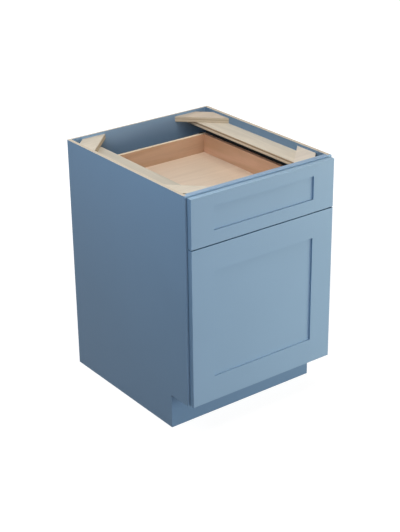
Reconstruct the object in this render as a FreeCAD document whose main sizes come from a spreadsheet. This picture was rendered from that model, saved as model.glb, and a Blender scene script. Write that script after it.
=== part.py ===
"""Kitchen base cabinet with one drawer over one door, as a parametric document.

Millimetres, +Z up, fronts towards -Y. The origin lies on the floor, under the
middle of the cabinet's overall box.
"""
import FreeCAD, Part
import math
import os
import re

import Sketcher

# Driving sizes, one cell each, grouped by the piece that owns them
SIZES = {
    # carcass
    "cabinet_width": 609.6,
    "cabinet_depth": 685.8,
    "cabinet_height": 876.3,
    "side_thickness": 12.7,
    "back_thickness": 6.35,
    "back_rabbet": 6.35,
    "floor_thickness": 12.7,
    "floor_dado": 6.35,
    "toe_height": 127.0,
    "toe_setback": 95.25,
    "toe_board_thickness": 12.7,
    # face frame
    "frame_thickness": 19.05,
    "frame_lap": 12.0,
    "stile_width": 50.8,
    "top_rail_width": 38.1,
    "middle_rail_width": 38.1,
    "bottom_rail_width": 25.4,
    # corner blocks and the flat rails that carry them
    "block_leg": 140.0,
    "block_cut": 46.0,
    "block_thickness": 19.05,
    "side_rail_width": 82.0,
    "side_rail_thickness": 16.0,
    "side_rail_drop": 28.3,
    # shelf on pins
    "shelf_thickness": 18.0,
    "shelf_depth": 508.0,
    "shelf_height": 412.0,
    "shelf_end_clearance": 1.5,
    "shelf_back_clearance": 3.0,
    "pin_radius": 2.5,
    "pin_length": 7.0,
    "pin_hole_depth": 8.0,
    "pin_drop": 6.0,
    "pin_row_inset": 60.0,
    "pin_hole_pitch": 50.8,
    "support_width": 12.0,
    "support_reach": 10.0,
    "support_drop": 12.0,
    "support_sheet": 1.2,
    # drawer front and door
    "front_thickness": 19.05,
    "front_easing": 1.0,
    "front_standoff": 3.0,
    "side_reveal": 7.0,
    "top_reveal": 4.8,
    "bottom_reveal": 2.1,
    "front_gap": 3.2,
    "drawer_front_height": 172.4,
    "front_stile_width": 88.8,
    "door_rail_width": 90.0,
    "drawer_top_rail_width": 42.5,
    "drawer_bottom_rail_width": 46.2,
    "panel_recess": 6.35,
    "panel_thickness": 6.35,
    "panel_clearance": 0.8,
    "groove_depth": 9.5,
    "bumper_radius": 5.0,
    "bumper_thickness": 2.7,
    "bumper_inset": 14.0,
    # drawer box
    "box_overhang": 18.0,
    "box_height": 82.55,
    "box_thickness": 12.7,
    "box_lift": 4.0,
    "box_lap": 3.2,
    "tail_width": 17.0,
    "tail_flare": 2.4,
    "box_groove": 6.35,
    "box_bottom_thickness": 6.0,
    "box_bottom_recess": 6.35,
    # drawer slides
    "slide_thickness": 12.7,
    "slide_setback": 2.0,
    "slide_rear_space": 77.45,
    "slide_sheet": 1.2,
    "slide_bend": 1.5,
    "slide_lip": 1.0,
    "slide_web_gap": 1.1,
    "cabinet_member_height": 45.7,
    "cabinet_member_depth": 10.0,
    "middle_member_height": 36.0,
    "middle_member_depth": 8.2,
    "drawer_member_height": 25.8,
    "drawer_member_depth": 7.7,
    "cage_sheet": 0.5,
    "cage_end_space": 5.0,
    "outer_cage_gap": 0.3,
    "outer_cage_height": 40.1,
    "outer_cage_depth": 6.8,
    "inner_cage_gap": 0.5,
    "inner_cage_height": 30.2,
    "inner_cage_depth": 4.8,
    "socket_sheet": 1.5,
    "socket_height": 40.0,
    "socket_overlap": 45.0,
    "socket_foot": 28.0,
    # concealed hinges
    "pivot_inset": 7.0,
    "pivot_depth": 8.2,
    "pivot_radius": 1.2,
    "pivot_clearance": 0.05,
    "pivot_half_length": 8.6,
    "eye_radius": 2.4,
    "arm_width": 7.0,
    "arm_thickness": 1.4,
    "arm_reach": 18.0,
    "arm_frame_clearance": 0.3,
    "plate_height": 44.0,
    "plate_length": 15.0,
    "plate_screw_spacing": 32.0,
    "cup_radius": 17.5,
    "cup_wall": 0.8,
    "cup_depth": 12.5,
    "cup_edge": 3.0,
    "wing_start": 13.0,
    "wing_end": 29.0,
    "wing_width": 13.0,
    "wing_offset": 9.5,
    "wing_thickness": 1.0,
    "wing_screw_spacing": 45.0,
    "hinge_inset": 100.0,
    # screw holes in the slides and hinges
    "screw_hole_radius": 2.1,
    "slide_screw_spacing": 16.0,
}

# Places worked out from the sizes, shared by the pieces that meet there
PLACES = {
    "half_width": "cabinet_width / 2",
    "inner_half": "half_width - side_thickness",
    "opening_half": "half_width - stile_width",
    "front_face": "-(cabinet_depth + front_standoff + front_thickness) / 2",
    "fronts_back": "front_face + front_thickness",
    "frame_face": "fronts_back + front_standoff",
    "frame_back": "frame_face + frame_thickness",
    "rear_face": "frame_face + cabinet_depth",
    "back_inner": "rear_face - back_thickness",
    "floor_top": "toe_height + bottom_rail_width",
    "floor_under": "floor_top - floor_thickness",
    "front_half": "half_width - side_reveal",
    "door_base": "toe_height + bottom_reveal",
    "drawer_front_base": "cabinet_height - top_reveal - drawer_front_height",
    "door_height": "drawer_front_base - front_gap - door_base",
    "middle_rail_base": "drawer_front_base - (front_gap + middle_rail_width) / 2",
    "box_base": "middle_rail_base + middle_rail_width + box_lift",
    "box_half": "opening_half - slide_thickness",
    "slide_level": "box_base + box_height / 2",
    "slide_front": "frame_face + slide_setback",
    "slide_rear": "back_inner - slide_rear_space",
    "slide_length": "slide_rear - slide_front",
    "box_length": "slide_rear + box_overhang - fronts_back",
    "side_rail_base": "cabinet_height - side_rail_drop - side_rail_thickness",
    "block_base": "cabinet_height - side_rail_drop",
    "pivot_across": "front_half - pivot_inset",
    "pivot_back": "fronts_back - pivot_depth",
    "cup_across": "front_half - cup_edge - cup_radius",
    "upper_hinge": "door_base + door_height - hinge_inset",
    "lower_hinge": "door_base + hinge_inset",
    "pin_level": "shelf_height - pin_drop",
    "pin_front": "shelf_front + pin_row_inset",
    "pin_back": "shelf_front + shelf_depth - pin_row_inset",
    "shelf_front": "back_inner - shelf_back_clearance - shelf_depth",
}

TAIL_COUNT = 3
SLIDE_HOLE_PAIR_COUNT = 3
PIN_HOLE_COUNT = 3
SIDES = (("left", -1), ("right", 1))

doc = FreeCAD.newDocument("base_cabinet")
sheet = doc.addObject("Spreadsheet::Sheet", "Dimensions")
for row, (alias, value) in enumerate(SIZES.items(), start=1):
    sheet.set("A%d" % row, alias)
    sheet.set("B%d" % row, str(value))
    sheet.setAlias("B%d" % row, alias)
doc.recompute()

nodes = []


def spelled(expression):
    """Spell out a place or a size for the document's own expressions."""
    def one_word(match):
        word = match.group()
        if word in PLACES:
            return "(" + spelled(PLACES[word]) + ")"
        return "Dimensions." + word
    return re.sub("[a-z_]+", one_word, expression)


def bind(thing, name, expression):
    thing.setExpression(name, spelled(expression))


def put(thing, x="0", y="0", z="0"):
    for axis, expression in zip("xyz", (x, y, z)):
        bind(thing, ".Placement.Base." + axis, expression)
    return thing


def node(thing, name):
    """Register a finished piece under the name that its file gets."""
    thing.Label = name
    nodes.append(thing)
    return thing


# Wooden boards and other square pieces

def box(name, corner, size):
    piece = doc.addObject("Part::Box", name)
    for side, expression in zip(("Length", "Width", "Height"), size):
        bind(piece, side, expression)
    return put(piece, *corner)


def board(name, corner, size):
    return node(box(name + "_board", corner, size), name)


def cylinder(name, radius, height, start, turn=FreeCAD.Rotation()):
    piece = doc.addObject("Part::Cylinder", name)
    bind(piece, "Radius", radius)
    bind(piece, "Height", height)
    piece.Placement.Rotation = turn
    return put(piece, *start)


def group(kind, name, pieces):
    """Join pieces under one name: touching ones grow together in a fusion."""
    whole = doc.addObject("Part::" + kind, name + "_group")
    if kind == "Compound":
        whole.Links = pieces
    else:
        whole.Shapes = pieces
    return node(whole, name)


# Sketched bodies

def body(name):
    piece = doc.addObject("PartDesign::Body", name + "_body")
    return node(piece, name)


def origin_plane(piece, role):
    return [item for item in piece.Origin.OriginFeatures if item.Role == role][0]


def fix_point(sketch, geometry, vertex, place, start):
    for kind, expression, value in zip(("DistanceX", "DistanceY"), place, start):
        constraint = Sketcher.Constraint(kind, -1, 1, geometry, vertex, value)
        index = sketch.addConstraint(constraint)
        bind(sketch, "Constraints[%d]" % index, expression)


def draw_outline(sketch, corners):
    """Draw a closed outline. It starts as a regular polygon round the origin,
    and the constraints then bring each corner to its place."""
    count = len(corners)
    turns = [2 * math.pi * corner / count for corner in range(count)]
    points = [FreeCAD.Vector(math.cos(turn), math.sin(turn), 0) for turn in turns]
    first = sketch.GeometryCount
    for start, end in zip(points, points[1:] + points[:1]):
        sketch.addGeometry(Part.LineSegment(start, end))
    edges = list(range(first, sketch.GeometryCount))
    for edge, following in zip(edges, edges[1:] + edges[:1]):
        sketch.addConstraint(Sketcher.Constraint("Coincident", edge, 2, following, 1))
    for edge, place, start in zip(edges, corners, points):
        fix_point(sketch, edge, 1, place, (start.x, start.y))


def draw_circle(sketch, centre, radius):
    index = sketch.addGeometry(Part.Circle(FreeCAD.Vector(1, 1, 0), FreeCAD.Vector(0, 0, 1), 1))
    fix_point(sketch, index, 3, centre, (1, 1))
    constraint = sketch.addConstraint(Sketcher.Constraint("Radius", index, 1))
    bind(sketch, "Constraints[%d]" % constraint, radius)


def sketched(piece, name, plane, level, outlines=(), circles=()):
    """A sketch on one of the body's own planes, moved along the plane's normal."""
    sketch = piece.newObject("Sketcher::SketchObject", name)
    sketch.AttachmentSupport = [(origin_plane(piece, plane), "")]
    sketch.MapMode = "FlatFace"
    bind(sketch, ".AttachmentOffset.Base.z", level)
    for corners in outlines:
        draw_outline(sketch, corners)
    for centre, radius in circles:
        draw_circle(sketch, centre, radius)
    return sketch


def feature(piece, kind, sketch, length, against_default=False):
    """A pad or a pocket. Pads follow the plane's normal and pockets oppose it,
    unless they are turned against that default."""
    made = piece.newObject("PartDesign::" + kind, sketch.Name + "_" + kind.lower())
    made.Profile = sketch
    made.Reversed = against_default
    bind(made, "Length", length)
    sketch.Visibility = False
    return made


def straight_edges(made, along, zero):
    """Names of a feature's edges that run along one axis where the coordinates
    named in `zero` are nought."""
    doc.recompute()
    near = Part.Precision.confusion()
    names = []
    for number, edge in enumerate(made.Shape.Edges, start=1):
        start, end = [vertex.Point for vertex in edge.Vertexes]
        runs = math.isclose(abs(getattr(end - start, along)), edge.Length, abs_tol=near)
        if runs and all(abs(getattr(start, axis)) < near for axis in zero):
            names.append("Edge%d" % number)
    return names


def rounded(piece, made, names, radius):
    fillet = piece.newObject("PartDesign::Fillet", made.Name + "_rounded")
    fillet.Base = (made, names)
    bind(fillet, "Radius", radius)
    return fillet


def rectangle(low, high):
    return [low, (high[0], low[1]), high, (low[0], high[1])]


# Carcass

def side_panel(side, sign):
    """A plywood side, notched for the toe space, with a dado for the floor, a
    rabbet for the back and two rows of shelf pin holes on its inner face. Its
    front edge laps into the frame's stile."""
    piece = body(side + "_side_panel")
    outline = [
        ("toe_setback", "0"),
        ("cabinet_depth", "0"),
        ("cabinet_depth", "cabinet_height"),
        ("frame_thickness - frame_lap", "cabinet_height"),
        ("frame_thickness - frame_lap", "toe_height"),
        ("toe_setback", "toe_height"),
    ]
    feature(piece, "Pad", sketched(piece, side + "_side_outline", "YZ_Plane", "0", [outline]), "side_thickness")

    def inner_pocket(name, depth, outlines=(), circles=()):
        level = "side_thickness - " + depth if sign < 0 else depth
        sketch = sketched(piece, side + name, "YZ_Plane", level, outlines, circles)
        return sketch, feature(piece, "Pocket", sketch, depth, against_default=sign < 0)

    dado = rectangle(
        ("frame_thickness", "floor_under"),
        ("cabinet_depth - back_thickness", "floor_top"),
    )
    inner_pocket("_floor_dado", "floor_dado", [dado])
    rabbet = rectangle(("cabinet_depth - back_thickness", "0"), ("cabinet_depth", "cabinet_height"))
    inner_pocket("_back_rabbet", "back_rabbet", [rabbet])
    lowest = "pin_level - pin_hole_pitch * %d / 2" % (PIN_HOLE_COUNT - 1)
    holes = [(("pin_front - frame_face", lowest), "pin_radius"), (("pin_back - frame_face", lowest), "pin_radius")]
    sketch, pocket = inner_pocket("_pin_holes", "pin_hole_depth", circles=holes)
    rows = piece.newObject("PartDesign::LinearPattern", side + "_pin_rows")
    rows.Originals = [pocket]
    rows.Direction = (sketch, ["V_Axis"])
    rows.Occurrences = PIN_HOLE_COUNT
    bind(rows, "Length", "pin_hole_pitch * %d" % (PIN_HOLE_COUNT - 1))
    piece.Tip = rows
    put(piece, "-half_width" if sign < 0 else "inner_half", "frame_face", "0")


def frame_stile(side, sign):
    """A stile of the face frame, rabbeted behind its outer edge for the side panel."""
    piece = body("frame_%s_stile" % side)
    far = "" if sign < 0 else "-"
    section = [
        ("0", "0"),
        (far + "stile_width", "0"),
        (far + "stile_width", "frame_thickness"),
        (far + "side_thickness", "frame_thickness"),
        (far + "side_thickness", "frame_thickness - frame_lap"),
        ("0", "frame_thickness - frame_lap"),
    ]
    sketch = sketched(piece, "frame_%s_stile_section" % side, "XY_Plane", "0", [section])
    feature(piece, "Pad", sketch, "cabinet_height - toe_height")
    put(piece, "-half_width" if sign < 0 else "half_width", "frame_face", "toe_height")


def corner_block(end, side, sign):
    """A triangular brace with its inner corner cut off, lying on the side rail."""
    piece = body("corner_block_%s_%s" % (end, side))
    inward = "-" if sign > 0 else ""
    along = "" if end == "front" else "-"
    outline = [
        (inward + "block_cut", "0"),
        (inward + "block_leg", "0"),
        ("0", along + "block_leg"),
        ("0", along + "block_cut"),
    ]
    name = "block_%s_%s" % (end, side)
    feature(piece, "Pad", sketched(piece, name, "XY_Plane", "0", [outline]), "block_thickness")
    across = "inner_half" if sign > 0 else "-inner_half"
    put(piece, across, "frame_back" if end == "front" else "back_inner", "block_base")


def carcass():
    for side, sign in SIDES:
        side_panel(side, sign)
    board(
        "back_panel",
        ("-inner_half - back_rabbet", "back_inner", "0"),
        ("2 * (inner_half + back_rabbet)", "back_thickness", "cabinet_height"),
    )
    board(
        "cabinet_floor",
        ("-inner_half - floor_dado", "frame_back", "floor_under"),
        ("2 * (inner_half + floor_dado)", "back_inner - frame_back", "floor_thickness"),
    )
    board(
        "toe_kick_board",
        ("-inner_half", "frame_face + toe_setback", "0"),
        ("2 * inner_half", "toe_board_thickness", "floor_under"),
    )
    for side, sign in SIDES:
        frame_stile(side, sign)
    rails = {
        "top": "cabinet_height - top_rail_width",
        "middle": "middle_rail_base",
        "bottom": "toe_height",
    }
    for rail, base in rails.items():
        board(
            "frame_%s_rail" % rail,
            ("-opening_half", "frame_face", base),
            ("2 * opening_half", "frame_thickness", rail + "_rail_width"),
        )
    for side, sign in SIDES:
        board(
            side + "_side_rail",
            ("-inner_half" if sign < 0 else "inner_half - side_rail_width", "frame_back", "side_rail_base"),
            ("side_rail_width", "back_inner - frame_back", "side_rail_thickness"),
        )
    for end in ("front", "back"):
        for side, sign in SIDES:
            corner_block(end, side, sign)


def shelf():
    board(
        "shelf",
        ("shelf_end_clearance - inner_half", "shelf_front", "shelf_height"),
        ("2 * (inner_half - shelf_end_clearance)", "shelf_depth", "shelf_thickness"),
    )
    pieces = []
    for side, sign in SIDES:
        for row, along in (("front", "pin_front"), ("back", "pin_back")):
            pieces += shelf_pin("pin_%s_%s" % (side, row), sign, along)
    group("MultiFuse", "shelf_pins", pieces)


def shelf_pin(name, sign, along):
    """A pin in the side panel with an angle of sheet that the shelf lies on."""
    inward = FreeCAD.Rotation(FreeCAD.Vector(0, 1, 0), 90)
    pin = "-inner_half - pin_length" if sign < 0 else "inner_half"
    seat = "-inner_half" if sign < 0 else "inner_half - support_reach"
    plate = "-inner_half" if sign < 0 else "inner_half - support_sheet"
    near = along + " - support_width / 2"
    return [
        cylinder(name, "pin_radius", "pin_length", (pin, along, "pin_level"), inward),
        box(
            name + "_seat",
            (seat, near, "shelf_height - support_sheet"),
            ("support_reach", "support_width", "support_sheet"),
        ),
        box(
            name + "_plate",
            (plate, near, "shelf_height - support_drop"),
            ("support_sheet", "support_width", "support_drop"),
        ),
    ]


# Drawer front and door: grooved stiles, tongued rails and a floating panel

def front_stile(name, side, sign, height, place):
    piece = body("%s_%s_stile" % (name, side))
    far = "" if sign < 0 else "-"
    profile = [
        ("0", "0"),
        (far + "front_stile_width", "0"),
        (far + "front_stile_width", "panel_recess"),
        (far + "(front_stile_width - groove_depth)", "panel_recess"),
        (far + "(front_stile_width - groove_depth)", "panel_recess + panel_thickness"),
        (far + "front_stile_width", "panel_recess + panel_thickness"),
        (far + "front_stile_width", "front_thickness"),
        ("0", "front_thickness"),
    ]
    sketch = sketched(piece, "%s_%s_stile_section" % (name, side), "XY_Plane", "0", [profile])
    pad = feature(piece, "Pad", sketch, height)
    outer = straight_edges(pad, "z", "xy") + straight_edges(pad, "x", "y")
    rounded(piece, pad, outer, "front_easing")
    put(piece, "-front_half" if sign < 0 else "front_half", "front_face", place)
    return piece


def front_rail(name, end, width, base):
    """A rail with a panel groove along its inner edge and a tongue at each end."""
    piece = body("%s_%s_rail" % (name, end))
    up = "" if end == "bottom" else "-"
    profile = [
        ("0", "0"),
        ("front_thickness", "0"),
        ("front_thickness", up + width),
        ("panel_recess + panel_thickness", up + width),
        ("panel_recess + panel_thickness", up + "(%s - groove_depth)" % width),
        ("panel_recess", up + "(%s - groove_depth)" % width),
        ("panel_recess", up + width),
        ("0", up + width),
    ]
    tongue = rectangle(
        ("panel_recess", "0"),
        ("panel_recess + panel_thickness", up + "(%s - groove_depth)" % width),
    )
    title = "%s_%s_rail" % (name, end)
    span = "2 * (front_half - front_stile_width)"
    start = "front_stile_width - front_half"
    pad = feature(piece, "Pad", sketched(piece, title + "_section", "YZ_Plane", start, [profile]), span)
    rounded(piece, pad, straight_edges(pad, "x", "yz"), "front_easing")
    feature(
        piece,
        "Pad",
        sketched(piece, title + "_tongue", "YZ_Plane", start + " - groove_depth", [tongue]),
        span + " + 2 * groove_depth",
    )
    put(piece, "0", "front_face", base)


def framed_front(name, base, height, top_width, bottom_width):
    stiles = [front_stile(name, side, sign, height, base) for side, sign in SIDES]
    front_rail(name, "bottom", bottom_width, base)
    front_rail(name, "top", top_width, base + " + " + height)
    inset = "front_stile_width - groove_depth + panel_clearance"
    board(
        name + "_panel",
        (
            inset + " - front_half",
            "front_face + panel_recess",
            "%s + %s - groove_depth + panel_clearance" % (base, bottom_width),
        ),
        (
            "2 * (front_half - (%s))" % inset,
            "panel_thickness",
            "%s - %s - %s + 2 * (groove_depth - panel_clearance)" % (height, bottom_width, top_width),
        ),
    )
    return stiles


def bumpers(name, places):
    toward_frame = FreeCAD.Rotation(FreeCAD.Vector(1, 0, 0), -90)
    dots = []
    for number, (across, up) in enumerate(places):
        start = (across, "fronts_back", up)
        dots.append(cylinder("%s_%d" % (name, number), "bumper_radius", "bumper_thickness", start, toward_frame))
    group("Compound", name, dots)


# Drawer box with dovetailed corners

def tail_centres():
    return ["box_height * %d / %d" % (2 * tail + 1, 2 * TAIL_COUNT) for tail in range(TAIL_COUNT)]


def tail_outline(centre, shoulder, tip):
    """One tail, seen from the drawer's side, from its lower to its upper shoulder."""
    return [
        (shoulder, centre + " - tail_width / 2 + tail_flare"),
        (tip, centre + " - tail_width / 2"),
        (tip, centre + " + tail_width / 2"),
        (shoulder, centre + " + tail_width / 2 - tail_flare"),
    ]


def box_side(side, sign):
    piece = body("drawer_box_%s_side" % side)
    outline = [("box_thickness", "0")]
    for centre in tail_centres():
        outline += tail_outline(centre, "box_thickness", "box_lap")
    outline += [("box_thickness", "box_height"), ("box_length - box_thickness", "box_height")]
    for centre in reversed(tail_centres()):
        outline += reversed(tail_outline(centre, "box_length - box_thickness", "box_length"))
    outline.append(("box_length - box_thickness", "0"))
    sketch = sketched(piece, "box_%s_side_outline" % side, "YZ_Plane", "0", [outline])
    feature(piece, "Pad", sketch, "box_thickness")
    groove = rectangle(
        ("box_thickness - box_groove", "box_bottom_recess"),
        ("box_length - box_thickness + box_groove", "box_bottom_recess + box_bottom_thickness"),
    )
    level = "box_thickness - box_groove" if sign < 0 else "box_groove"
    sketch = sketched(piece, "box_%s_side_groove" % side, "YZ_Plane", level, [groove])
    feature(piece, "Pocket", sketch, "box_groove", against_default=sign < 0)
    put(piece, "-box_half" if sign < 0 else "box_half - box_thickness", "fronts_back", "box_base")


def box_end(end):
    """The drawer box's front or back, with sockets for the tails at both ends and
    a groove for the drawer bottom."""
    piece = body("drawer_box_" + end)
    section = rectangle(("0", "0"), ("box_thickness", "box_height"))
    sketch = sketched(piece, "box_%s_section" % end, "YZ_Plane", "-box_half", [section])
    feature(piece, "Pad", sketch, "2 * box_half")
    if end == "front":
        shoulder, tip = "box_thickness", "box_lap"
    else:
        shoulder, tip = "0", "box_thickness"
    sockets = [tail_outline(centre, shoulder, tip) for centre in tail_centres()]
    sketch = sketched(piece, "box_%s_sockets" % end, "YZ_Plane", "box_half - box_thickness", sockets)
    pocket = feature(piece, "Pocket", sketch, "box_thickness", against_default=True)
    mirrored = piece.newObject("PartDesign::Mirrored", "box_%s_far_sockets" % end)
    mirrored.Originals = [pocket]
    mirrored.MirrorPlane = (origin_plane(piece, "YZ_Plane"), [""])
    piece.Tip = mirrored
    reach = "box_half - box_thickness + box_groove"
    groove = rectangle(
        ("-(%s)" % reach, "box_bottom_recess"),
        (reach, "box_bottom_recess + box_bottom_thickness"),
    )
    level = "-box_thickness + box_groove" if end == "front" else "-box_groove"
    sketch = sketched(piece, "box_%s_groove" % end, "XZ_Plane", level, [groove])
    feature(piece, "Pocket", sketch, "box_groove", against_default=end == "back")
    start = "fronts_back" if end == "front" else "fronts_back + box_length - box_thickness"
    put(piece, "0", start, "box_base")


def drawer():
    framed_front(
        "drawer_front",
        "drawer_front_base",
        "drawer_front_height",
        "drawer_top_rail_width",
        "drawer_bottom_rail_width",
    )
    for end in ("front", "back"):
        box_end(end)
    for side, sign in SIDES:
        box_side(side, sign)
    margin = "box_thickness - box_groove"
    board(
        "drawer_box_bottom",
        (margin + " - box_half", "fronts_back + " + margin, "box_base + box_bottom_recess"),
        (
            "2 * (box_half - box_thickness + box_groove)",
            "box_length - 2 * (%s)" % margin,
            "box_bottom_thickness",
        ),
    )
    low = "drawer_front_base + bumper_inset"
    high = "drawer_front_base + drawer_front_height - bumper_inset"
    dots = [(across, up) for across in ("bumper_inset - front_half", "front_half - bumper_inset") for up in (low, high)]
    bumpers("drawer_bumpers", dots)


# Telescoping drawer slides: three nested channels a side, with the cages that
# hold the balls between them

def half_section(height, depth, reach, lip):
    """The lower half of a channel's section, from the web's corner to the web's
    inner face. The lip at the flange's tip turns inwards (+) or outwards (-)."""
    low = "-%s / 2" % height
    tip = reach + depth
    root = "%s(%s - slide_sheet)" % (reach, depth)
    top = low + " + slide_sheet"
    if lip == "+":
        flange = [(tip, low), (tip, top + " + slide_lip"), (root, top + " + slide_lip"), (root, top)]
    else:
        flange = [(root, low), (root, low + " - slide_lip"), (tip, low + " - slide_lip"), (tip, top)]
    return [("0", low)] + flange + [(reach + "slide_sheet", top)]


def channel(name, web, height, depth, toward, lip):
    """A rolled channel that runs front to back. Its web stands at `web`, and its
    flanges reach towards the drawer or towards the cabinet's side."""
    piece = body(name)
    lower = half_section(height, depth, "-" if toward < 0 else "", lip)
    upper = [(across, "-(%s)" % up) for across, up in reversed(lower)]
    sketch = sketched(piece, name + "_section", "XZ_Plane", "0", [lower + upper])
    pad = feature(piece, "Pad", sketch, "slide_length", against_default=True)
    rounded(piece, pad, straight_edges(pad, "y", "x"), "slide_bend")
    put(piece, web, "slide_front", "slide_level")
    return piece


def screw_holes(piece, toward):
    """A pair of screw holes near the front of a slide's web, repeated along it."""
    along = "frame_thickness / 2 - slide_setback"
    pair = [((along, way + "slide_screw_spacing / 2"), "screw_hole_radius") for way in ("", "-")]
    level = "slide_sheet" if toward > 0 else "0"
    sketch = sketched(piece, piece.Label + "_holes", "YZ_Plane", level, circles=pair)
    pocket = feature(piece, "Pocket", sketch, "slide_sheet")
    pattern = piece.newObject("PartDesign::LinearPattern", piece.Label + "_hole_pairs")
    pattern.Originals = [pocket]
    pattern.Direction = (sketch, ["H_Axis"])
    pattern.Occurrences = SLIDE_HOLE_PAIR_COUNT
    bind(pattern, "Length", "slide_length - 2 * (%s)" % along)
    piece.Tip = pattern


def ball_cage(name, web, height, depth, toward):
    """A strip bent to a channel, half as long as the slide. It starts a quarter of
    the way along, and so stays between its two members over the whole travel."""
    piece = body(name)
    reach = "-" if toward < 0 else ""
    lower = [
        ("0", "-%s / 2" % height),
        (reach + depth, "-%s / 2" % height),
        (reach + depth, "cage_sheet - %s / 2" % height),
        (reach + "cage_sheet", "cage_sheet - %s / 2" % height),
    ]
    upper = [(across, "-(%s)" % up) for across, up in reversed(lower)]
    sketch = sketched(piece, name + "_section", "XZ_Plane", "0", [lower + upper])
    feature(piece, "Pad", sketch, "slide_length / 2 - 2 * cage_end_space", against_default=True)
    put(piece, web, "slide_front + slide_length / 4 + cage_end_space", "slide_level")


def slides():
    middle_web = "opening_half - slide_sheet - slide_web_gap"
    for side, sign in SIDES:
        outward = "" if sign > 0 else "-"
        fixed = channel(
            "slide_cabinet_member_" + side,
            outward + "opening_half",
            "cabinet_member_height",
            "cabinet_member_depth",
            -sign,
            "+",
        )
        screw_holes(fixed, -sign)
        channel(
            "slide_middle_member_" + side,
            "%s(%s)" % (outward, middle_web),
            "middle_member_height",
            "middle_member_depth",
            -sign,
            "+",
        )
        channel(
            "slide_drawer_member_" + side,
            outward + "box_half",
            "drawer_member_height",
            "drawer_member_depth",
            sign,
            "-",
        )
        ball_cage(
            "ball_cage_outer_" + side,
            "%s(opening_half - slide_sheet - outer_cage_gap)" % outward,
            "outer_cage_height",
            "outer_cage_depth",
            -sign,
        )
        ball_cage(
            "ball_cage_inner_" + side,
            "%s(%s - slide_sheet - inner_cage_gap)" % (outward, middle_web),
            "inner_cage_height",
            "inner_cage_depth",
            -sign,
        )
        rear_socket(side, outward)


def rear_socket(side, outward):
    """A bent bracket that carries the slide's rear end on the cabinet's back."""
    piece = body("slide_rear_socket_" + side)
    leg = "back_inner - slide_rear + socket_overlap"
    outline = [
        ("0", "0"),
        (outward + "socket_sheet", "0"),
        (outward + "socket_sheet", "%s - socket_sheet" % leg),
        (outward + "socket_foot", "%s - socket_sheet" % leg),
        (outward + "socket_foot", leg),
        ("0", leg),
    ]
    sketch = sketched(piece, "socket_outline_" + side, "XY_Plane", "0", [outline])
    feature(piece, "Pad", sketch, "socket_height")
    put(piece, outward + "opening_half", "slide_rear - socket_overlap", "slide_level - socket_height / 2")


# Door on two concealed hinges

def cup_hole(stile, name, level):
    across = "cup_across - front_half"
    sketch = sketched(stile, name, "XZ_Plane", "-front_thickness", circles=[((across, level), "cup_radius")])
    feature(stile, "Pocket", sketch, "cup_depth", against_default=True)


def hinge_cup(name, level):
    """A turned cup with two screw wings that lie on the door's back."""
    piece = body(name)
    half_section = [
        ("0", "-cup_depth"),
        ("cup_radius", "-cup_depth"),
        ("cup_radius", "0"),
        ("cup_radius - cup_wall", "0"),
        ("cup_radius - cup_wall", "cup_wall - cup_depth"),
        ("0", "cup_wall - cup_depth"),
    ]
    sketch = sketched(piece, name + "_half_section", "XY_Plane", "0", [half_section])
    turned = piece.newObject("PartDesign::Revolution", name + "_turned")
    turned.Profile = sketch
    turned.ReferenceAxis = (sketch, ["V_Axis"])
    turned.Angle = 360
    sketch.Visibility = False
    wings = []
    holes = []
    for sign in ("", "-"):
        wings.append(rectangle(
            ("-wing_offset - wing_width / 2", sign + "wing_start"),
            ("-wing_offset + wing_width / 2", sign + "wing_end"),
        ))
        holes.append((("-wing_offset", sign + "wing_screw_spacing / 2"), "screw_hole_radius"))
    sketch = sketched(piece, name + "_wings", "XZ_Plane", "0", wings, holes)
    feature(piece, "Pad", sketch, "wing_thickness", against_default=True)
    put(piece, "cup_across", "fronts_back", level)


def hinge_arm(name, level):
    """A bent strap. Its eye turns on the pin inside the cup, its neck passes
    between door and frame, and its plate lies on the stile's inner edge."""
    piece = body(name)
    gap_top = "pivot_depth + front_standoff - arm_frame_clearance"
    gap_low = gap_top + " - arm_thickness"
    edge = "(pivot_across - opening_half)"
    plate_end = "pivot_depth + front_standoff + plate_length"
    neck = [
        ("0", "-arm_thickness"),
        ("-arm_reach - arm_thickness", "-arm_thickness"),
        ("-arm_reach - arm_thickness", gap_low),
        ("-%s - arm_thickness" % edge, gap_low),
        ("-%s - arm_thickness" % edge, plate_end),
        ("-" + edge, plate_end),
        ("-" + edge, gap_top),
        ("-arm_reach", gap_top),
        ("-arm_reach", "0"),
        ("0", "0"),
    ]
    plate = rectangle(("-%s - arm_thickness" % edge, gap_low), ("-" + edge, plate_end))
    feature(piece, "Pad", sketched(piece, name + "_neck", "XY_Plane", "-arm_width / 2", [neck]), "arm_width")
    eye = sketched(piece, name + "_eye", "XY_Plane", "-arm_width / 2", circles=[(("0", "0"), "eye_radius")])
    feature(piece, "Pad", eye, "arm_width")
    feature(piece, "Pad", sketched(piece, name + "_plate", "XY_Plane", "-plate_height / 2", [plate]), "plate_height")
    bore = [(("0", "0"), "pivot_radius + pivot_clearance")]
    sketch = sketched(piece, name + "_bore", "XY_Plane", "arm_width / 2", circles=bore)
    feature(piece, "Pocket", sketch, "arm_width")
    along = "pivot_depth + front_standoff + plate_length / 2"
    holes = [((along, way + "plate_screw_spacing / 2"), "screw_hole_radius") for way in ("", "-")]
    sketch = sketched(piece, name + "_screw_holes", "YZ_Plane", "-" + edge, circles=holes)
    feature(piece, "Pocket", sketch, "arm_thickness")
    put(piece, "pivot_across", "pivot_back", level)


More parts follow.
